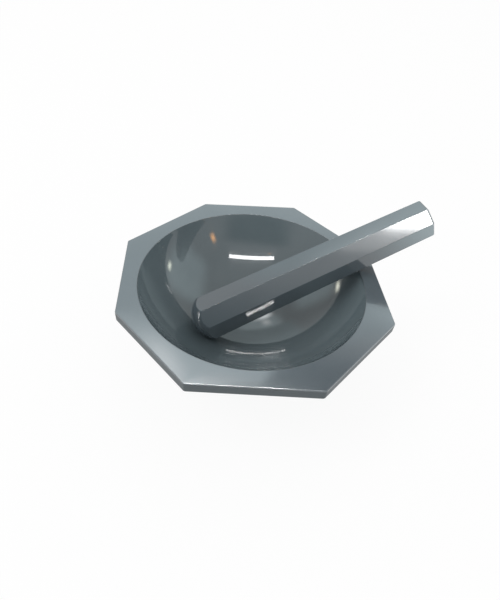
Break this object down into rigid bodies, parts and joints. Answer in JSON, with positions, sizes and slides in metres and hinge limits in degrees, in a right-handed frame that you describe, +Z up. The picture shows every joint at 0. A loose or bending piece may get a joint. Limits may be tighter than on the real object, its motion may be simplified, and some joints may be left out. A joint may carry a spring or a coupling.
{
  "type": "mortar and pestle",
  "caption": "Octagonal polished stone mortar with a round bowl, and a tapered faceted stone pestle with a rounded grinding end, for grinding small samples by hand.",
  "frame": {"origin": "middle of the mortar's foot, under the bowl's axis, on the surface the mortar stands on", "axes": "+Z up along the bowl's axis, -Z out of the foot, +X the long way, the way the resting pestle leans"},
  "size_m": [0.1389, 0.1173, 0.074],
  "materials": {
    "mortar_stone": "dark agate: satin-ground rim and outside, mirror-polished bowl",
    "pestle_stone": "dark agate, polished facets and grinding end"
  },
  "bodies": {
    "mortar": {"mortar": "mortar_stone"},
    "pestle": {"pestle": "pestle_stone"}
  },
  "joints": [
    {"name": "pestle_lift", "type": "slide", "parent": "mortar", "child": "pestle", "axis": [0, 0, 1], "range_m": [0, 0.1]}
  ]
}
